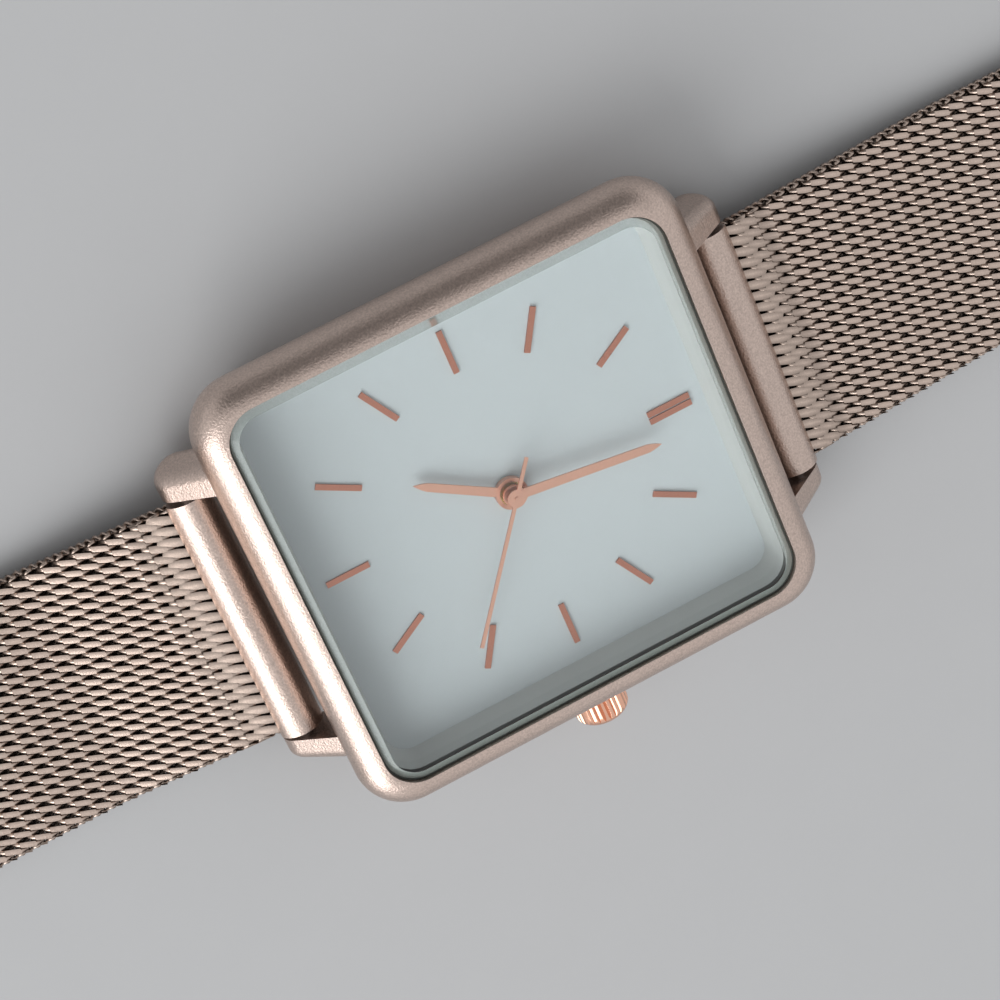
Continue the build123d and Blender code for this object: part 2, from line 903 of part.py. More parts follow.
lever_axis = (finger_x + crown_travel / 2, lever_arm)
lever_lean = math.degrees(math.atan2(lever_arm, crown_travel / 2))
lever_bottom = plate_top + 2 * running_gap
with BuildPart() as setting_lever:
    with BuildSketch(Plane.XY.offset(lever_bottom)):
        with Locations(((finger_x + lever_axis[0]) / 2, lever_arm / 2)):
            SlotCenterToCenter(
                math.dist(lever_axis, (finger_x, 0)), lever_width, rotation=lever_lean
            )
        with Locations(lever_axis):
            Circle(post_radius + running_gap, mode=Mode.SUBTRACT)
    extrude(amount=lever_thickness)
    extrude(
        disc(lever_finger, crown_height + stem_groove_radius + loose_gap, (finger_x, 0)),
        amount=lever_bottom + lever_thickness - crown_height - stem_groove_radius,
    )
save(setting_lever, "setting_lever")

# Main plate: floor, rim, pockets and posts

with BuildPart() as main_plate:
    extrude(
        rounded(2 * movement_half_x, 2 * movement_half_y, movement_corner, plate_bottom),
        amount=movement_top - plate_bottom,
    )
    extrude(
        rounded(2 * recess_half, 2 * recess_half, movement_corner, plate_top),
        amount=movement_top - plate_top + overrun,
        mode=Mode.SUBTRACT,
    )
    # Feet that reach down to the bridge and carry its screws
    for screw in screws:
        extrude(
            disc(screw_radius + loose_gap, bridge_top, screw), amount=plate_bottom - bridge_top
        )
        extrude(
            disc(screw_shank + press_gap, bridge_top, screw),
            amount=plate_bottom - bridge_top,
            mode=Mode.SUBTRACT,
        )
    # Window for the clutch, slot for the stem's pilot, and the stem's bearing
    window_start = clutch_start - clutch_travel - loose_gap
    window = pilot_end - loose_gap - window_start
    slot_start = stem_inner - 3 * loose_gap
    with BuildSketch(Plane.XY.offset(plate_bottom)):
        with Locations((window_start + window / 2, 0)):
            Rectangle(window, 2 * clutch_radius + 4 * loose_gap)
        with Locations(((slot_start + pilot_end) / 2, 0)):
            Rectangle(pilot_end - slot_start, 2 * stem_radius + 2 * running_gap)
    extrude(amount=movement_top - plate_bottom, mode=Mode.SUBTRACT)
    pocket_start = finger_x - lever_width
    pocket_end = movement_half_x + overrun
    with BuildSketch(Plane.XY.offset(plate_top)):
        with Locations(((pocket_start + pocket_end) / 2, lever_arm / 2)):
            Rectangle(pocket_end - pocket_start, lever_arm + 2 * lever_width)
    extrude(amount=movement_top - plate_top, mode=Mode.SUBTRACT)
    extrude(
        disc_x(stem_radius + running_gap, pilot_end - 2 * loose_gap, crown_height),
        amount=movement_half_x,
        mode=Mode.SUBTRACT,
    )
    post_foot = plate_top - plate_floor / 2
    for axis in (minute_axis, setting_axis, lever_axis):
        extrude(disc(post_radius, post_foot, axis), amount=post_top - post_foot)
    extrude(
        disc_x(coil_radius + loose_gap, coil_x - coil_length / 2 - loose_gap, core_middle, coil_y),
        amount=coil_length + 2 * loose_gap,
        mode=Mode.SUBTRACT,
    )
    for axis in (third_axis, fifth_axis, rotor_axis):
        extrude(
            disc(arbor_radius + running_gap, plate_bottom, axis),
            amount=pivot_depth + loose_gap,
            mode=Mode.SUBTRACT,
        )
    extrude(
        disc(cannon_radius, plate_bottom), amount=plate_floor, mode=Mode.SUBTRACT
    )
    extrude(
        disc(battery_radius + loose_gap, movement_bottom, battery_axis),
        amount=battery_height + loose_gap,
        mode=Mode.SUBTRACT,
    )
    extrude(
        disc_x(
            crystal_can_radius + loose_gap,
            -crystal_can_length / 2 - loose_gap,
            can_height,
            movement_half_y - 2 * crystal_can_radius,
        ),
        amount=crystal_can_length + 2 * loose_gap,
        mode=Mode.SUBTRACT,
    )
    for foot in feet:
        extrude(
            disc(foot_radius + loose_gap, dial_bottom, foot),
            amount=-foot_length - loose_gap,
            mode=Mode.SUBTRACT,
        )
save(main_plate, "main_plate")

with BuildPart() as train_bridge:
    with BuildSketch(Plane.XY.offset(movement_bottom)):
        RectangleRounded(2 * movement_half_x, 2 * movement_half_y, movement_corner)
        with Locations(battery_axis):
            Circle(battery_radius + loose_gap, mode=Mode.SUBTRACT)
        with Locations((coil_x, coil_y)):
            Rectangle(
                coil_length + 2 * loose_gap,
                2 * coil_radius + 2 * loose_gap,
                mode=Mode.SUBTRACT,
            )
    extrude(amount=bridge_thickness)
    for axis in (centre, third_axis, fifth_axis, rotor_axis):
        extrude(
            disc(
                fourth_arbor_radius + running_gap,
                movement_bottom + pivot_depth - running_gap,
                axis,
            ),
            amount=bridge_thickness,
            mode=Mode.SUBTRACT,
        )
    for screw in screws:
        extrude(
            disc(screw_shank + press_gap, movement_bottom, screw),
            amount=bridge_thickness,
            mode=Mode.SUBTRACT,
        )
        extrude(
            disc(screw_radius + press_gap, movement_bottom, screw),
            amount=screw_head,
            mode=Mode.SUBTRACT,
        )
save(train_bridge, "train_bridge")

with BuildPart() as bridge_screws:
    for screw in screws:
        extrude(disc(screw_radius, movement_bottom, screw), amount=screw_head - press_gap)
        extrude(disc(screw_shank, movement_bottom, screw), amount=plate_bottom - movement_bottom)
save(bridge_screws, "bridge_screws")

with BuildPart() as battery_clamp:
    with BuildSketch(Plane.XY.offset(movement_bottom - clamp_thickness)):
        with Locations((battery_x + battery_radius / 2, battery_y + battery_radius / 2)):
            Rectangle(2 * battery_radius, clamp_width, rotation=45)
    extrude(amount=clamp_thickness)
save(battery_clamp, "battery_clamp")

with BuildPart() as movement_holder:
    extrude(
        rounded(
            inner_width - 2 * back_lip_wall - 4 * loose_gap,
            inner_length - 2 * back_lip_wall - 4 * loose_gap,
            inner_corner - back_lip_wall / 2,
            movement_bottom,
        ),
        amount=back_lip_height,
    )
    extrude(
        rounded(
            inner_width - 2 * holder_play,
            inner_length - 2 * holder_play,
            inner_corner,
            back_thickness + back_lip_height + loose_gap,
        ),
        amount=dial_bottom - back_thickness - back_lip_height - loose_gap,
    )
    extrude(
        rounded(
            2 * (movement_half_x + holder_play),
            2 * (movement_half_y + holder_play),
            movement_corner,
            movement_bottom,
        ),
        amount=dial_bottom - movement_bottom,
        mode=Mode.SUBTRACT,
    )
    extrude(
        disc_x(tube_radius + loose_gap, movement_half_x, crown_height),
        amount=inner_width / 2,
        mode=Mode.SUBTRACT,
    )
save(movement_holder, "movement_holder")

# Crown tube pressed into the case, crown gasket and crown

tube_start = inner_width / 2 - tube_inside
tube_end = crown_start + tube_reach - crown_travel / 2
with BuildPart() as crown_tube:
    extrude(disc_x(tube_radius, tube_start, crown_height), amount=tube_end - tube_start)
    extrude(
        disc_x(tube_bore, tube_start - overrun, crown_height),
        amount=tube_end - tube_start + 2 * overrun,
        mode=Mode.SUBTRACT,
    )
save(crown_tube, "crown_tube")

gasket_start = crown_start + loose_gap
crown_bore = tube_radius + crown_gasket_wall + running_gap
with BuildPart() as crown_gasket:
    extrude(
        disc_x(tube_radius + crown_gasket_wall, gasket_start, crown_height),
        amount=crown_gasket_length,
    )
    extrude(
        disc_x(tube_radius + running_gap, gasket_start - overrun, crown_height),
        amount=crown_gasket_length + 2 * overrun,
        mode=Mode.SUBTRACT,
    )
save(crown_gasket, "crown_gasket")

with BuildPart() as crown:
    extrude(disc_x(crown_skirt_radius, crown_start, crown_height), amount=crown_skirt + running_gap)
    extrude(disc_x(crown_radius, crown_end - crown_head, crown_height), amount=crown_head)
    fillet(crown.faces().sort_by(Axis.X)[-1].edges(), radius=crown_dome)
    with BuildSketch(Plane.YZ.offset(crown_end - crown_head)):
        with Locations((0, crown_height)):
            with PolarLocations(crown_radius, crown_flutes):
                RegularPolygon(flute_radius, 4)
    extrude(amount=crown_head - crown_dome / 2, mode=Mode.SUBTRACT)
    extrude(
        disc_x(crown_bore, crown_start, crown_height), amount=tube_reach, mode=Mode.SUBTRACT
    )
    extrude(
        disc_x(stem_radius + press_gap, crown_start, crown_height),
        amount=stem_end - crown_start + press_gap,
        mode=Mode.SUBTRACT,
    )
save(crown, "crown")


# Strap: each half leaves its bar at a slope and then lies flat

def half_route(lengths):
    """The knuckle axes of one half as (distance along Y, height), from the bar."""
    drop = bar_height - strap_rest
    reach = bar_reach + math.sqrt(lengths[0] ** 2 - drop**2)
    route = [(bar_reach, bar_height), (reach, strap_rest)]
    for length in lengths[1:]:
        reach += length
        route.append((reach, strap_rest))
    return route


def ribs(begin, finish, side):
    """Points of a run of ribs, one for each coil of the weave, between two flat lands."""
    land = strap_thickness / 2
    first = begin + land
    last = finish - land
    count = max(1, round((last - first) / rib_pitch))
    step = (last - first) / count
    outer = side * strap_thickness / 2
    inner = side * (strap_thickness / 2 - rib_depth)
    points = [(begin, outer), (first, outer)]
    for rib in range(count):
        points.append((first + (rib + 1 / 2) * step, inner))
        points.append((first + (rib + 1) * step, outer))
    points.append((finish, outer))
    return points


def strap_length(start, end, first, last):
    """One flat length of strap: round at its start, hollow at its end, or cut square."""
    slope = math.degrees(math.atan2(end[1] - start[1], end[0] - start[0]))
    length = math.dist(start, end)
    half = strap_thickness / 2
    hollow = half + knuckle_gap
    shoulder = math.sqrt(hollow**2 - half**2)
    side = Plane.YZ * Location((start[0], start[1], 0), (0, 0, slope))
    with BuildPart() as piece:
        with BuildSketch(side):
            with BuildLine():
                if first:
                    root = bar_radius - strap_slot
                    Polyline((root, half), (root, -half))
                    begin = root
                else:
                    ThreePointArc((0, half), (-half, 0), (0, -half))
                    begin = 0
                finish = length if last else length - shoulder
                Polyline(*ribs(begin, finish, -1))
                if last:
                    Line((length, -half), (length, half))
                else:
                    ThreePointArc((finish, -half), (length - hollow, 0), (finish, half))
                Polyline(*ribs(begin, finish, 1)[::-1])
            make_face()
        extrude(amount=strap_width / 2, both=True)
    return piece


def end_bar(slope):
    """The round tube that the spring bar passes through, slotted for the strap's end."""
    with BuildPart() as tube:
        extrude(disc_x(bar_radius, 0, bar_height, bar_reach), amount=bar_length / 2, both=True)
        extrude(
            disc_x(bar_bore, 0, bar_height, bar_reach),
            amount=bar_length,
            both=True,
            mode=Mode.SUBTRACT,
        )
        side = Plane.YZ * Location((bar_reach, bar_height, 0), (0, 0, slope))
        with BuildSketch(side):
            with Locations((bar_radius, 0)):
                Rectangle(
                    2 * (strap_slot + press_gap), strap_thickness + 2 * press_gap
                )
        extrude(amount=strap_width / 2 + press_gap, both=True, mode=Mode.SUBTRACT)
    return tube


def flipped(piece):
    """The piece carried to the 6 o'clock side by a half turn about Z."""
    piece.part = piece.part.rotate(Axis.Z, 180)
    return piece


def first_slope(route):
    return math.degrees(math.atan2(route[1][1] - route[0][1], route[1][0] - route[0][0]))


route_12 = half_route(lengths_12)
route_6 = half_route(lengths_6)
names_12 = ["strap_12_root", "strap_12_middle", "strap_12_end"]
names_6 = ["strap_6_root", "strap_6_middle", "strap_6_rail", "strap_6_tail"]

for index, name in enumerate(names_12):
    piece = strap_length(
        route_12[index], route_12[index + 1], index == 0, index == len(names_12) - 1
    )
    save(piece, name)
for index, name in enumerate(names_6):
    piece = strap_length(
        route_6[index], route_6[index + 1], index == 0, index == len(names_6) - 1
    )
    save(flipped(piece), name)

save(end_bar(first_slope(route_12)), "strap_bar_12")
save(flipped(end_bar(first_slope(route_6))), "strap_bar_6")

for side, name in ((1, "spring_bar_12"), (-1, "spring_bar_6")):
    with BuildPart() as spring_bar:
        extrude(
            disc_x(spring_bar_radius, 0, bar_height, side * bar_reach),
            amount=bar_length / 2 - spring_bar_end_play,
            both=True,
        )
        extrude(
            disc_x(pin_radius, 0, bar_height, side * bar_reach),
            amount=lug_inner + pin_depth,
            both=True,
        )
    save(spring_bar, name)

# Clasp half on the 12 o'clock strap: sleeve, pin, hook and cover

end_12 = route_12[-1][0]
pin_y = end_12 + sleeve_length - clasp_pin_radius
with BuildPart() as clasp_sleeve:
    with BuildSketch(Plane.YZ):
        with Locations((end_12 + sleeve_length / 2 - sheet, strap_rest)):
            Rectangle(sleeve_length, strap_thickness + 2 * sheet)
        with Locations((pin_y, strap_rest)):
            Circle(clasp_pin_radius + sheet)
    extrude(amount=strap_width / 2, both=True)
    with BuildSketch(Plane.YZ):
        with Locations((end_12 - sheet, strap_rest)):
            Rectangle(2 * sheet, strap_thickness + 2 * press_gap)
        with Locations((pin_y, strap_rest)):
            Circle(clasp_pin_radius + press_gap)
    extrude(amount=strap_width, both=True, mode=Mode.SUBTRACT)
    # Room between two knuckles for the hook's knuckle
    with BuildSketch(Plane.XY.offset(strap_rest)):
        with Locations((0, pin_y)):
            Rectangle(
                hook_width_share * strap_width + 2 * loose_gap,
                2 * (clasp_pin_radius + sheet + loose_gap),
            )
    extrude(amount=2 * strap_thickness, both=True, mode=Mode.SUBTRACT)
save(clasp_sleeve, "clasp_sleeve")

cover_half = strap_width / 2 + side_gap + sheet
with BuildPart() as clasp_pin:
    extrude(disc_x(clasp_pin_radius, 0, strap_rest, pin_y), amount=cover_half, both=True)
save(clasp_pin, "clasp_pin")

with BuildPart() as clasp_hook:
    with BuildSketch(Plane.YZ):
        with Locations((pin_y, strap_rest)):
            Circle(clasp_pin_radius + sheet)
        with Locations((pin_y + hook_length / 2, strap_rest - sheet)):
            Rectangle(hook_length, sheet)
        with Locations((pin_y + hook_length - sheet / 2, strap_rest)):
            Rectangle(sheet, 3 * sheet)
        with Locations((pin_y + hook_length - 3 * sheet / 2, strap_rest + sheet)):
            Rectangle(3 * sheet, sheet)
        with Locations((pin_y, strap_rest)):
            Circle(clasp_pin_radius + running_gap, mode=Mode.SUBTRACT)
    extrude(amount=hook_width_share * strap_width / 2, both=True)
save(clasp_hook, "clasp_hook")

with BuildPart() as clasp_cover:
    with BuildSketch(Plane.YZ):
        with BuildLine():
            Polyline(
                (pin_y, strap_rest - cover_ear),
                (pin_y + cover_length, strap_rest),
                (pin_y + cover_length, cover_height),
                (pin_y + roof_start, cover_height),
                (pin_y, strap_rest + cover_ear),
                close=True,
            )
        make_face()
        with Locations((pin_y, strap_rest)):
            Circle(cover_ear)
    extrude(amount=cover_half, both=True)
    # Hollow under the roof, open at both ends
    with BuildSketch(Plane.XY.offset(cover_height - sheet)):
        with Locations((0, pin_y + cover_length / 2)):
            Rectangle(2 * (cover_half - sheet), 2 * cover_length)
    extrude(amount=-cover_height, mode=Mode.SUBTRACT)
    extrude(
        disc_x(clasp_pin_radius + running_gap, 0, strap_rest, pin_y),
        amount=cover_half + overrun,
        both=True,
        mode=Mode.SUBTRACT,
    )
    # The roof stops short of the sleeve, so that the cover can fold back over the strap
    with BuildSketch(Plane.XY.offset(strap_rest)):
        with Locations((0, pin_y)):
            Rectangle(2 * (cover_half - sheet), 2 * roof_start)
    extrude(amount=cover_height, mode=Mode.SUBTRACT)
save(clasp_cover, "clasp_cover")

# Slider on the 6 o'clock strap, with its hook bar and its locking flap

rail_y = -route_6[2][0]
slider_y = rail_y - slider_start
slider_half = strap_width / 2 + side_gap + slider_wall
strap_top = strap_rest + strap_thickness / 2
strap_bottom = strap_rest - strap_thickness / 2
lock_height = strap_top + loose_gap + lock_ridge + lock_pin_radius
with BuildPart() as slider_frame:
    with BuildSketch(Plane.XY):
        with Locations((0, slider_y - slider_length / 2)):
            Rectangle(2 * slider_half, slider_length)
    extrude(amount=slider_height)
    with BuildSketch(Plane.XY.offset(strap_bottom - loose_gap)):
        with Locations((0, slider_y - slider_length / 2)):
            Rectangle(2 * (slider_half - slider_wall), slider_length + 2 * overrun)
    extrude(amount=slider_height, mode=Mode.SUBTRACT)
    lock_y = slider_y - 2 * lock_pin_radius
    hook_bar_y = slider_y - slider_length + 2 * hook_bar_radius
    hook_bar_height = strap_top + side_gap + hook_bar_radius
    extrude(
        disc_x(lock_pin_radius + press_gap, 0, lock_height, lock_y),
        amount=slider_half + overrun,
        both=True,
        mode=Mode.SUBTRACT,
    )
    extrude(
        disc_x(hook_bar_radius + press_gap, 0, hook_bar_height, hook_bar_y),
        amount=slider_half + overrun,
        both=True,
        mode=Mode.SUBTRACT,
    )
save(slider_frame, "slider_frame")

with BuildPart() as hook_bar:
    extrude(disc_x(hook_bar_radius, 0, hook_bar_height, hook_bar_y), amount=slider_half, both=True)
save(hook_bar, "hook_bar")

with BuildPart() as lock_pin:
    extrude(disc_x(lock_pin_radius, 0, lock_height, lock_y), amount=slider_half, both=True)
save(lock_pin, "lock_pin")

with BuildPart() as lock_flap:
    with BuildSketch(Plane.YZ):
        with Locations((lock_y, lock_height)):
            Circle(lock_pin_radius + lock_ridge)
        with Locations((lock_y - lock_length / 2, lock_height)):
            Rectangle(lock_length, sheet)
        with Locations((lock_y, lock_height)):
            Circle(lock_pin_radius + running_gap, mode=Mode.SUBTRACT)
    extrude(amount=slider_half - slider_wall - side_gap, both=True)
save(lock_flap, "lock_flap")

# Folded metal end of the 6 o'clock strap

tip_y = -route_6[-1][0]
with BuildPart() as strap_tip:
    with BuildSketch(Plane.YZ):
        with Locations((tip_y + tip_length / 2 - tip_sheet, strap_rest)):
            Rectangle(tip_length, strap_thickness + 2 * tip_sheet)
    extrude(amount=strap_width / 2 + tip_sheet, both=True)
    with BuildSketch(Plane.YZ):
        with Locations((tip_y + tip_length / 2, strap_rest)):
            Rectangle(tip_length, strap_thickness + 2 * press_gap)
    extrude(amount=strap_width / 2 + press_gap, both=True, mode=Mode.SUBTRACT)
save(strap_tip, "strap_tip")

print("clasp pin, lock pin, rail:", pin_y, lock_y, lock_height, rail_y, slider_y)
print("lever:", lever_axis, finger_x)
print("strap half routes, 12 and 6 o'clock:", route_12, route_6)
print("train axes:", third_axis, fifth_axis, rotor_axis, minute_axis, setting_axis)
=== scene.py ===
# %% [markdown]
# # A square watch on a woven strap
# The solid model of the watch arrives as a frame: every piece at its real size and place,
# in metres, with X to 3 o'clock, Y to 12 o'clock and Z up out of the dial. This lesson
# gives each piece its finish and weaves the strap, wire by wire, in place of plain slabs.
# Lengths are written in millimetres and turned into metres by MM, and angles in degrees.

# %% Load the frame
import json
import math

import bpy
import numpy as np
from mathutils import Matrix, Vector


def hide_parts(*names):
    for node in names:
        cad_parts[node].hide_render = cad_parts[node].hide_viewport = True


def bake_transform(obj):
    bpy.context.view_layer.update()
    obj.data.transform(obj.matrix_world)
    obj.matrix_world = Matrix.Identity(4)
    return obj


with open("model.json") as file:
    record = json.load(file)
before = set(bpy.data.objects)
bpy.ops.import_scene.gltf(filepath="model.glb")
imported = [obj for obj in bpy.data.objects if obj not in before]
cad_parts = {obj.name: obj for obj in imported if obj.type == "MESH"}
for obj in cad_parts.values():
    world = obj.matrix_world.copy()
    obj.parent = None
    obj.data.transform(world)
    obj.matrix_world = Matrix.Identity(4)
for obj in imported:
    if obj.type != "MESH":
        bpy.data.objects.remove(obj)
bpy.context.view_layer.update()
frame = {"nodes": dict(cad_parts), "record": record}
MM = 0.001
print("pieces in the frame:", len(frame["nodes"]))

# %% [markdown]
# ## Camera
# The photograph looks down on the watch from about 26 degrees off the upright, with a
# long lens, and 12 o'clock points to the upper right. The camera's place and turn come
# from the perspective of the case and the dial, so that the edges run the same way.

# %% Camera
camera_place = np.array((-73.73, -21.22, 164.25)) * MM
to_right = (0.3739, 0.8820, 0.2868)
to_bottom = (0.8277, -0.4569, 0.3259)
forward = (0.4185, 0.1156, -0.9008)

bpy.ops.object.camera_add()
camera = bpy.context.object
camera.name = "watch_camera"
stand = np.eye(4)
stand[:3, 0] = to_right
stand[:3, 1] = -np.array(to_bottom)
stand[:3, 2] = -np.array(forward)
stand[:3, 3] = camera_place
camera.matrix_world = stand.T
camera.data.sensor_width = 36
camera.data.lens = 103
bpy.context.scene.camera = camera
print("camera:", camera.name, camera.data.lens, "mm lens")

# %% [markdown]
# ## Light
# A big soft window stands below the picture and a little to its left, which puts the
# shadow above the case and a pale line along the rim at 6 o'clock. Metal shows what
# surrounds it, so the room, set at the end, has a pale ceiling and one dim wall on the
# side of 9 o'clock: it draws the dark band between two light ones along that rim.

# %% Soft lamps


def soft_lamp(name, place, aim, size, watts):
    """A square lamp at a place in millimetres, turned towards another point."""
    bpy.ops.object.light_add(type="AREA", location=Vector(place) * MM)
    lamp = bpy.context.object
    lamp.name = name
    lamp.data.size = size * MM
    lamp.data.energy = watts
    direction = lamp.location - Vector(aim) * MM
    lamp.rotation_euler = direction.to_track_quat("Z", "Y").to_euler()


soft_lamp("window", place=(265, -490, 355), aim=(0, 0, 0), size=520, watts=2.8)
bpy.context.scene.view_settings.view_transform = "Standard"
print("lamps:", len(bpy.data.lights))

# %% [markdown]
# ## Finishes
# Every finish is a small node graph. A wrapped socket lets the graph be written as sums,
# and one method adds any other node: its settings first, and then what goes into it.

# %% Node helpers


class Value:
    """A socket whose sums become Math nodes in the finish that owns it."""

    def __init__(self, finish, socket):
        self.finish = finish
        self.socket = socket

    def sum(self, operation, left, right):
        """One Math node, with sockets or plain numbers on either side."""
        return self.finish.node("ShaderNodeMath", {"operation": operation}, {0: left, 1: right})

    def __add__(self, other):
        return self.sum("ADD", self, other)

    def __mul__(self, other):
        return self.sum("MULTIPLY", self, other)

    def __sub__(self, other):
        return self.sum("SUBTRACT", self, other)

    def __pow__(self, other):
        return self.sum("POWER", self, other)


class Finish:
    """A material under construction, with one shader at its end."""

    def __init__(self, name):
        self.material = bpy.data.materials.new(name)
        self.material.use_nodes = True
        self.tree = self.material.node_tree
        self.shader = self.tree.nodes["Principled BSDF"]
        self.end = self.tree.nodes["Material Output"]
        self.place = self.node("ShaderNodeTexCoord", {}, {}, "Object")

    def node(self, kind, settings, inputs, output=0):
        """A new node, as the wrapped socket that comes out of it."""
        made = self.tree.nodes.new(kind)
        for name, value in settings.items():
            setattr(made, name, value)
        self.feed(made, inputs)
        return Value(self, made.outputs[output])

    def feed(self, made, inputs):
        """Link the wrapped sockets among these inputs, and set the plain values."""
        for name, value in inputs.items():
            if isinstance(value, Value):
                self.tree.links.new(value.socket, made.inputs[name])
            else:
                made.inputs[name].default_value = value

    def noise(self, size, detail=2.0, stretch=(1, 1, 1)):
        """Cloudy noise whose lumps are about so many millimetres across."""
        placed = self.node("ShaderNodeMapping", {}, {"Vector": self.place, "Scale": stretch})
        return self.node(
            "ShaderNodeTexNoise", {}, {"Vector": placed, "Scale": 1 / (size * MM), "Detail": detail}
        )

    def blend(self, amount, first, second):
        """A colour between two others."""
        return self.node(
            "ShaderNodeMix", {"data_type": "RGBA"}, {0: amount, 6: first, 7: second}, 2
        )

    def bump(self, height, depth):
        """A normal from a height between 0 and 1 that stands for a depth in millimetres."""
        return self.node("ShaderNodeBump", {}, {"Height": height, "Distance": depth * MM})


def shade(red, green, blue):
    """A colour given as it looks on a screen, 0 to 255, turned into light."""
    parts = [value / 255 for value in (red, green, blue)]
    return (*[p / 12.92 if p <= 0.04045 else ((p + 0.055) / 1.055) ** 2.4 for p in parts], 1)


def darker(colour, share):
    """The same colour with only this share of its light."""
    return (*[value * share for value in colour[:3]], 1)


# %% [markdown]
# ## Metals
# The case is blasted with fine beads before it is plated, which leaves a dull, faintly
# sparkling skin. A fine noise tilts the surface, and a second, wider one shifts the
# gloss, as handling does. Turned and ground parts get the same graph with the noise
# stretched one way, so that it reads as tool marks.

# %% Metal finishes
contrast = 2.5
patch_gloss = 0.08
mark_gloss = 0.06
worn_share = 0.35
worn_level = 0.86


def metal(name, colour, gloss, grain=0.09, depth=0.004, stretch=(1, 1, 1), speck=0.93):
    """Bare or plated metal: gloss is its roughness, grain and depth are its marks in
    millimetres, and speck is the share of the colour that is left in them."""
    finish = Finish(name)
    fine = finish.noise(grain, 3, stretch)
    wide = finish.noise(2.5, 2)
    tone = finish.blend((fine - 0.5) * contrast + 0.5, darker(colour, speck), colour)
    finish.feed(
        finish.shader,
        {
            "Base Color": finish.blend(wide * worn_share, tone, darker(colour, worn_level)),
            "Metallic": 1.0,
            "Roughness": wide * patch_gloss
            + fine * mark_gloss
            + (gloss - (patch_gloss + mark_gloss) / 2),
            "Normal": finish.bump(fine, depth),
        },
    )
    return finish.material


finishes = {
    "satin_rose_steel": metal(
        "blasted_rose_steel", shade(215, 195, 184), 0.33, 0.13, 0.03, (1, 1, 1), 0.66
    ),
    "polished_rose_gold": metal("polished_copper_gold", shade(238, 186, 160), 0.2, 0.3, 0.001),
    "hand_rose_gold": metal("hand_copper", shade(226, 172, 150), 0.34, 0.2, 0.001),
    "marker_rose_gold": metal("marker_copper", shade(190, 124, 102), 0.3, 0.2, 0.001),
    "nickel_plate": metal("nickelled_brass", shade(205, 203, 198), 0.3, 0.3, 0.003, (1, 12, 1)),
    "train_brass": metal("gilt_brass", shade(216, 188, 118), 0.28, 0.2, 0.002),
    "plain_steel": metal("ground_steel", shade(196, 198, 202), 0.25, 0.25, 0.002, (1, 9, 9)),
    "soft_iron": metal("soft_iron", shade(150, 152, 156), 0.45, 0.2, 0.003),
    "cell_steel": metal("cell_can", shade(208, 208, 210), 0.22, 0.6, 0.002),
    "copper_wire": metal("wound_copper", shade(214, 126, 82), 0.35, 0.06, 0.02, (0.1, 1, 1)),
}
print("metals:", len(finishes))

# %% [markdown]
# ## Paint, plastic and rubber
# The dial is a thin plate with a fine satin silvering that reads almost white. The ring
# round it is the same colour but matt. Rubber, board and holder are seen only when the
# watch is open, and still have the mottling of the real stuff.

# %% Painted and moulded finishes
spread = 0.1


def coated(name, colour, gloss, grain, depth, mottle=0.06):
    """A surface that isn't bare metal, mottled and slightly uneven."""
    finish = Finish(name)
    fine = finish.noise(grain, 3)
    wide = finish.noise(4.0, 2)
    finish.feed(
        finish.shader,
        {
            "Base Color": finish.blend(
                fine * 0.5 + wide * 0.5, darker(colour, 1 - mottle), colour
            ),
            "Roughness": fine * spread + (gloss - spread / 2),
            "Normal": finish.bump(fine, depth),
        },
    )
    return finish.material


finishes["silvered_dial"] = coated("silvered_dial", shade(192, 199, 203), 0.75, 0.05, 0.001, 0.03)
finishes["reflector_white"] = coated("matt_ring", shade(178, 181, 180), 0.7, 0.1, 0.002, 0.04)
finishes["black_rubber"] = coated("black_rubber", shade(66, 70, 66), 0.7, 0.08, 0.01, 0.3)
finishes["holder_plastic"] = coated("white_plastic", shade(226, 226, 222), 0.5, 0.3, 0.004)
finishes["board_green"] = coated("green_board", shade(40, 96, 62), 0.35, 0.2, 0.006, 0.25)
print("finishes with paint, plastic and rubber:", len(finishes))

# %% [markdown]
# ## Glass
# Clear mineral glass, a little green where it is thick. Its two faces are polished, but
# the wall and the bevel are left as they were ground, and they read as a pale grey-green
# band. A mask from the direction that each face looks in tells them apart. Light has to
# reach the dial, so the polished part throws no shadow of its own.

# %% Glass finish
polished = shade(252, 254, 253)
polished_above = 0.97
ground_share = 0.5
ground_gloss = 0.45


def clear_glass(name):
    """Glass that is clear where it faces up or down, and half clouded where it was ground."""
    finish = Finish(name)
    finish.feed(
        finish.shader,
        {
            "Base Color": polished,
            "Roughness": 0.0,
            "IOR": 1.5,
            "Transmission Weight": 1.0,
        },
    )
    shadow = finish.node("ShaderNodeLightPath", {}, {}, "Is Shadow Ray")
    through = finish.node("ShaderNodeBsdfTransparent", {}, {"Color": polished})
    body = Value(finish, finish.shader.outputs[0])
    mixed = finish.node("ShaderNodeMixShader", {}, {0: shadow, 1: body, 2: through})
    looks = finish.node("ShaderNodeTexCoord", {}, {}, "Normal")
    up = finish.node("ShaderNodeSeparateXYZ", {}, {0: looks}, 2)
    upright = finish.node("ShaderNodeMath", {"operation": "ABSOLUTE"}, {0: up})
    is_ground = finish.node(
        "ShaderNodeMath", {"operation": "LESS_THAN"}, {0: upright, 1: polished_above}
    )
    scratches = finish.noise(0.1, 3)
    ground = finish.node(
        "ShaderNodeBsdfPrincipled",
        {},
        {
            "Base Color": finish.blend(scratches, shade(152, 164, 158), shade(190, 200, 194)),
            "Roughness": ground_gloss,
            "Normal": finish.bump(scratches, 0.004),
        },
    )
    edged = finish.node(
        "ShaderNodeMixShader", {}, {0: is_ground * ground_share, 1: mixed, 2: ground}
    )
    finish.feed(finish.end, {"Surface": edged})
    return finish.material


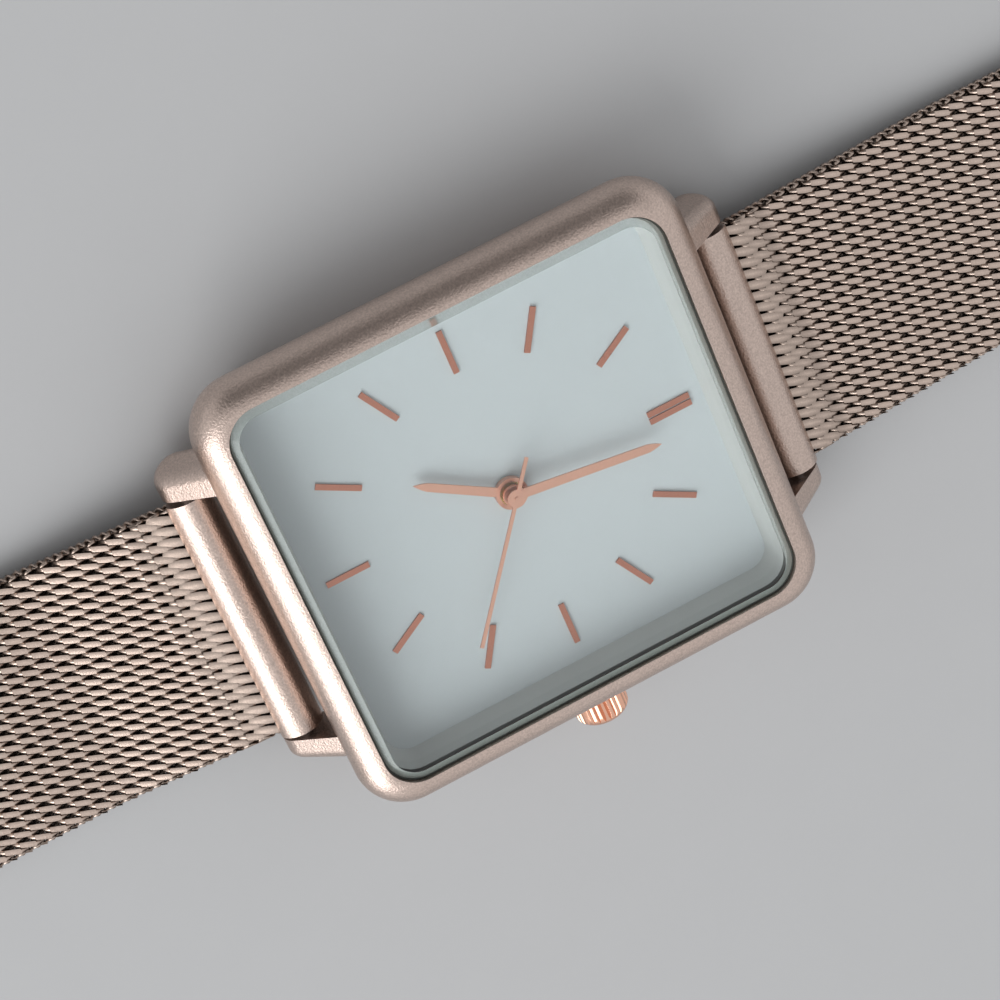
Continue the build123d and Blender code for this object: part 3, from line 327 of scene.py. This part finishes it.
finishes["crystal_glass"] = clear_glass("clear_glass")
print("finishes with glass:", len(finishes))

# %% [markdown]
# ## Woven wire
# The strap's wire is round where it dips into the weave and rolled flat where it shows.
# The flats keep the wire's own pale colour, rubbed in patches. The dips get painted shade,
# nearly black, so every point carries its depth as an attribute and the finish darkens with it.

# %% Wire finish
wire_colour = shade(225, 204, 190)
wire_contrast = 2
wire_speck = 0.78
wire_worn = 0.25
wire_worn_level = 0.8
# painted shade: the dips and the edges of the runs are darkened towards this share of the wire's
# colour
dip_shade_level = 0.12
dip_shade_onset = 0.8
wire_gloss = 0.25


def woven_wire(name):
    """Rolled wire, pale on its flats, with painted shade nearly black where its depth is full."""
    finish = Finish(name)
    fine = finish.noise(0.1, 3)
    wide = finish.noise(3.0, 2)
    deep = finish.node("ShaderNodeAttribute", {"attribute_name": "depth"}, {}, "Fac")
    speckled = finish.blend(
        (fine - 0.5) * wire_contrast + 0.5, darker(wire_colour, wire_speck), wire_colour
    )
    worn = darker(wire_colour, wire_worn_level)
    rubbed = finish.blend(wide * wire_worn, speckled, worn)
    # painted shade for the dips and run edges, mixed in by the depth attribute
    painted_dip_shade = darker(wire_colour, dip_shade_level)
    finish.feed(
        finish.shader,
        {
            "Base Color": finish.blend(deep**dip_shade_onset, rubbed, painted_dip_shade),
            "Metallic": 1.0,
            "Roughness": fine * spread + wire_gloss,
            "Normal": finish.bump(fine, 0.006),
        },
    )
    return finish.material


finishes["woven_rose_steel"] = woven_wire("woven_rose_wire")
print("all finishes:", len(finishes))

# %% [markdown]
# ## Dressing the solid pieces
# The record says which finish each piece takes.

# %% Give each solid its finish
for part in frame["record"]["subparts"]:
    solid = frame["nodes"][part["node"]]
    solid.data.materials.clear()
    solid.data.materials.append(finishes[part["material_slot"]])

# %% [markdown]
# ## Weaving the strap
# The real strap is made of flattened wire coils that lie across it, each hooked through
# the next. So one turn of wire is drawn as a screw thread, brought to shape with a few
# hand moves, repeated across the strap to make a coil, and the coil is then repeated
# along the strap.

# %% Helpers for shaping by hand


def fresh(add, **where):
    """A new primitive alone in the selection."""
    bpy.ops.object.select_all(action="DESELECT")
    add(**where)
    return bpy.context.object


def choose(piece, wanted):
    """Open a piece for editing with only the wanted points selected, and count them."""
    bpy.ops.object.select_all(action="DESELECT")
    piece.select_set(True)
    bpy.context.view_layer.objects.active = piece
    bpy.ops.object.mode_set(mode="EDIT")
    bpy.ops.mesh.select_mode(type="VERT")
    bpy.ops.mesh.select_all(action="DESELECT")
    bpy.ops.object.mode_set(mode="OBJECT")
    mesh = piece.data
    points = np.empty(len(mesh.vertices) * 3, np.float32)
    mesh.vertices.foreach_get("co", points)
    mask = wanted(points.reshape(-1, 3) / MM)
    mesh.vertices.foreach_set("select", mask)
    bpy.ops.object.mode_set(mode="EDIT")
    return int(mask.sum())


def everywhere(points):
    """For choose: all the points of a piece."""
    return np.ones(len(points), bool)


def leave():
    """Back to object mode."""
    bpy.ops.object.mode_set(mode="OBJECT")


def modify(piece, kind, **settings):
    """Add a modifier, set it and apply it."""
    bpy.ops.object.select_all(action="DESELECT")
    piece.select_set(True)
    bpy.context.view_layer.objects.active = piece
    made = piece.modifiers.new(kind.lower(), kind)
    for name, value in settings.items():
        setattr(made, name, value)
    bpy.ops.object.modifier_apply(modifier=made.name)


def settle(piece):
    """Put a piece's place and size into its mesh."""
    bpy.ops.object.select_all(action="DESELECT")
    piece.select_set(True)
    bpy.context.view_layer.objects.active = piece
    bpy.ops.object.transform_apply(location=True, rotation=True, scale=True)


# %% [markdown]
# ## One turn
# Two wires run side by side in each coil, so a turn moves on by two pitches, from right
# to left, and the strokes on top lean towards 3 o'clock as they run towards 12. The
# screw leaves twelve rings. Those on top and below are leaned a little more, brought
# down to a long level run and narrowed towards the dips: runs says for each angle how
# high the ring goes and how much of its width it keeps. At last the run is pressed to a
# low crown, and its outline is marked sharp, so that it takes the light as one face.

# %% One turn of wire
turn_pitch = 0.795
lead = 2 * turn_pitch
reach = 0.83
wire = 0.225
flat_height = 0.48
crown_share = 0.3
lean = 5
dip = 0.225
ring_reach = 5
run_reach = 35
pressed_share = 0.95
runs = ((30, None, 0.86), (60, 0.375, 0.92), (90, 0.395, 1.06))


def phase(points):
    """The angle of each point round the coil's axis, in degrees."""
    return np.degrees(np.arctan2(points[:, 2], points[:, 1])) % 360


def turn(radius, low):
    """One turn of wire of this radius, whose dips start from the height low."""
    ring = fresh(
        bpy.ops.mesh.primitive_circle_add,
        vertices=6,
        radius=radius * MM,
        location=(0, reach * MM, 0),
    )
    settle(ring)
    modify(
        ring,
        "SCREW",
        axis="X",
        angle=2 * math.pi,
        screw_offset=-lead * MM,
        steps=12,
        render_steps=12,
        iterations=1,
        use_normal_calculate=True,
    )
    for side, top in ((1, 90), (-1, 270)):
        choose(ring, lambda p: abs(phase(p) - top) < run_reach)
        bpy.ops.transform.rotate(
            value=side * math.radians(lean),
            orient_axis="Z",
            center_override=(-lead * top / 360 * MM, 0, 0),
        )
        leave()
        for angle, height, width in runs:
            for offset in {angle - 90, 90 - angle}:
                place = top + offset
                choose(ring, lambda p: abs(phase(p) - place) < ring_reach)
                bpy.ops.transform.resize(
                    value=(width, 1, 1), center_override=(-lead * place / 360 * MM, 0, 0)
                )
                rise = side * (height or low) - reach * math.sin(math.radians(place))
                bpy.ops.transform.translate(value=(0, 0, rise * MM))
                leave()
        choose(ring, lambda p: side * p[:, 2] > flat_height)
        bpy.ops.transform.resize(
            value=(1, 1, crown_share), center_override=(0, 0, side * flat_height * MM)
        )
        leave()
    choose(ring, lambda p: abs(p[:, 2]) > pressed_share * flat_height)
    bpy.ops.mesh.region_to_loop()
    bpy.ops.mesh.mark_sharp()
    leave()
    return ring


# %% [markdown]
# ## One coil
# Copies of the turn, one pitch apart, join up end to end into two wires. The joined
# points are merged, and the coil is cut off straight at both edges of the strap, as the
# real one is ground off, with the cuts filled.

# %% Coil
turns = 24
trim = 8.45
column_pitch = 1.05


def coil(radius, low):
    """Two wires wound together right across the strap."""
    piece = turn(radius, low)
    modify(
        piece,
        "ARRAY",
        count=turns,
        use_relative_offset=False,
        use_constant_offset=True,
        constant_offset_displace=(turn_pitch * MM, 0, 0),
    )
    choose(piece, everywhere)
    bpy.ops.transform.translate(value=((3 - turns) * turn_pitch / 2 * MM, 0, 0))
    bpy.ops.mesh.remove_doubles(threshold=1e-6)
    for side in (1, -1):
        bpy.ops.mesh.select_all(action="SELECT")
        bpy.ops.mesh.bisect(
            plane_co=(side * trim * MM, 0, 0),
            plane_no=(side, 0, 0),
            use_fill=True,
            clear_outer=True,
        )
    bpy.ops.mesh.select_all(action="SELECT")
    bpy.ops.mesh.normals_make_consistent(inside=False)
    leave()
    return piece


def columns_of(radius, low, first, count):
    """A number of coils, one column apart along the strap."""
    piece = coil(radius, low)
    modify(
        piece,
        "ARRAY",
        count=count,
        use_relative_offset=False,
        use_constant_offset=True,
        constant_offset_displace=(0, column_pitch * MM, 0),
    )
    piece.location.y = first * column_pitch * MM
    settle(piece)
    return piece


# %% [markdown]
# ## The edges
# Each coil's ends are turned back into the next one, which leaves a small braid along
# both sides. Two thin strands wound round each other stand for it.

# %% Edge braid
strap_half = 8.7
braid_wire = 0.12
braid_reach = 0.14


def braid(start, columns):
    """The four strands along both sides, one turn to each column."""
    strands = []
    for side in (-1, 1):
        for swing in (1, -1):
            strand = fresh(
                bpy.ops.mesh.primitive_circle_add,
                vertices=6,
                radius=braid_wire * MM,
                rotation=(math.pi / 2, 0, 0),
                location=(swing * braid_reach * MM, start * MM, 0),
            )
            settle(strand)
            modify(
                strand,
                "SCREW",
                axis="Y",
                angle=2 * math.pi,
                screw_offset=column_pitch * MM,
                steps=8,
                render_steps=8,
                iterations=columns,
                use_normal_calculate=True,
            )
            strand.location.x = side * (strap_half - braid_reach - braid_wire) * MM
            settle(strand)
            strands.append(strand)
    return strands


# %% [markdown]
# ## Laying the strap
# A length of weave is made flat and straight. Next to the bar the real strap is rolled
# harder, so the wire of the first coils is wider there and shuts the holes. Each point
# gets its depth, which sets its painted shade: none on the crown of a run, a little at its
# edge and all of it in the dips. From its bar the strap slopes down to the table, so that
# part is turned about the fold in three small steps, which rounds the bend.

# %% Strap lengths
tight_wires = ((0.345, 0.41), (0.3, 0.35), (0.26, 0.28))
# crests, edge_fall and edge_shades set the painted shade at the edges of the runs, darker in the
# tight columns; dip_top, dip_fall and tight_dip set the painted shade in the dips
crests = (0.55, 0.515)
edge_fall = 0.1
edge_shades = (0.45, 0.2)
dip_top = 0.46
dip_fall = 0.4
tight_dip = 0.3
# the share of the painted shade that the braid keeps
braid_shade_share = 0.35
bend_steps = (1.4, 0, -1.4)
flat_middle = 1.15
bar_reach = 17.875
bar_height = 2.85
bar_face = 1.26


def weave(name, first, last, fold_y, slope, start_y):
    """A length of strap from column first to column last, along +Y from start_y, which
    slopes down from the bar to the fold at fold_y."""
    columns = last - first
    tight = tight_wires if first == 0 else ()
    parts = [columns_of(radius, low, place, 1) for place, (radius, low) in enumerate(tight)]
    parts += braid(-column_pitch / 2, columns)
    piece = columns_of(wire, dip, len(tight), columns - len(tight))
    bpy.ops.object.select_all(action="DESELECT")
    for part in [*parts, piece]:
        part.select_set(True)
    bpy.context.view_layer.objects.active = piece
    bpy.ops.object.join()
    mesh = piece.data
    points = np.empty(len(mesh.vertices) * 3, np.float32)
    mesh.vertices.foreach_get("co", points)
    height = abs(points.reshape(-1, 3)[:, 2]) / MM
    # the depth is the painted shade: the wire finish darkens the edges of the runs and the dips by
    # it
    depth = mesh.attributes.new("depth", "FLOAT", "POINT")
    is_tight = (points[1::3] < (len(tight) - 0.5) * column_pitch * MM) & bool(tight)
    crest = np.where(is_tight, *crests)
    edge = np.where(is_tight, *edge_shades)
    value = np.clip((crest - height) / edge_fall, 0, edge)
    value += np.clip((dip_top - height) / dip_fall, 0, np.where(is_tight, tight_dip, 1 - edge))
    value[abs(points[::3]) > (trim + 0.01) * MM] *= braid_shade_share
    depth.data.foreach_set("value", value.astype(np.float32))
    piece.location = (0, (start_y + first * column_pitch) * MM, flat_middle * MM)
    settle(piece)
    for step in bend_steps:
        if choose(piece, lambda p: p[:, 1] < fold_y + step):
            bpy.ops.transform.rotate(
                value=math.radians(slope / len(bend_steps)),
                orient_axis="X",
                center_override=(0, (fold_y + step) * MM, flat_middle * MM),
            )
        leave()
    bpy.ops.object.shade_smooth(keep_sharp_edges=True)
    piece.name = name
    piece.data.materials.append(finishes["woven_rose_steel"])
    return piece


# %% [markdown]
# The strap is cut into five lengths. The length next to each bar is bent in three small
# steps about the fold where the strap reaches the table, and the lengths beyond it lie
# flat. The half at 6 o'clock is woven like the other and turned end for end.

# %% The two halves
first_coil = 0.7
drop = bar_height - flat_middle


def half(side, lengths, cuts, names):
    """Weave one half of the strap: side is 1 for 12 o'clock and -1 for 6 o'clock, lengths
    lie between the folds in millimetres, and cuts count columns from the bar."""
    run = math.sqrt(lengths[0] ** 2 - drop**2)
    slope = math.degrees(math.asin(drop / lengths[0]))
    folds = [bar_reach + run]
    for length in lengths[1:]:
        folds.append(folds[-1] + length)
    start_y = folds[0] - lengths[0] + bar_face + reach * first_coil
    made = []
    for index, name in enumerate(names):
        piece = weave(name, cuts[index], cuts[index + 1], folds[0], slope, start_y)
        if side < 0:
            choose(piece, everywhere)
            bpy.ops.transform.rotate(
                value=math.pi, orient_axis="Z", center_override=(0, 0, 0)
            )
            leave()
        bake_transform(piece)
        made.append(piece)
    return made


weave_12 = half(
    1,
    lengths=(17.2, 24.0, 22.0),
    cuts=(0, 27, 59),
    names=("weave_12_inner", "weave_12_outer"),
)
weave_6 = half(
    -1,
    lengths=(12.0, 24.0, 58.0, 20.0),
    cuts=(0, 22, 62, 107),
    names=("weave_6_inner", "weave_6_rail", "weave_6_tail"),
)
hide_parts("strap_12_root", "strap_12_middle")
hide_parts("strap_12_end", "strap_12_middle")
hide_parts("strap_6_root", "strap_6_middle")
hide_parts("strap_6_rail", "strap_6_middle")
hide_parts("strap_6_tail", "strap_6_rail")
for piece in weave_12 + weave_6:
    print(piece.name, len(piece.data.polygons), "faces")

# %% [markdown]
# ## Ground and room
# A plain pale sheet under the watch catches its soft shadow.

# %% Floor and world
bpy.ops.object.select_all(action="DESELECT")
bpy.ops.mesh.primitive_plane_add(size=3, location=(0, 0, -0.0001))
floor = bpy.context.object
floor.name = "floor"
floor.data.materials.append(coated("pale_cloth", shade(188, 189, 190), 0.9, 0.6, 0.0, 0.04))

dim_wall = (-0.81, 0.12, 0.57)
wall_stops = ((0.7, 1.0), (0.93, 0.22))
world = bpy.data.worlds.new("room")
bpy.context.scene.world = world
world.use_nodes = True
sky = world.node_tree
glow = sky.nodes["Background"]
where = sky.nodes.new("ShaderNodeTexCoord")
along = sky.nodes.new("ShaderNodeVectorMath")
along.operation = "DOT_PRODUCT"
along.inputs[1].default_value = dim_wall
ramp = sky.nodes.new("ShaderNodeValToRGB")
sky.links.new(where.outputs["Generated"], along.inputs[0])
sky.links.new(along.outputs["Value"], ramp.inputs[0])
sky.links.new(ramp.outputs[0], glow.inputs["Color"])
for stop, (position, level) in zip(ramp.color_ramp.elements, wall_stops):
    stop.position = position
    stop.color = (level, level, level * 1.01, 1)
glow.inputs["Strength"].default_value = 0.78
print("world:", world.name)
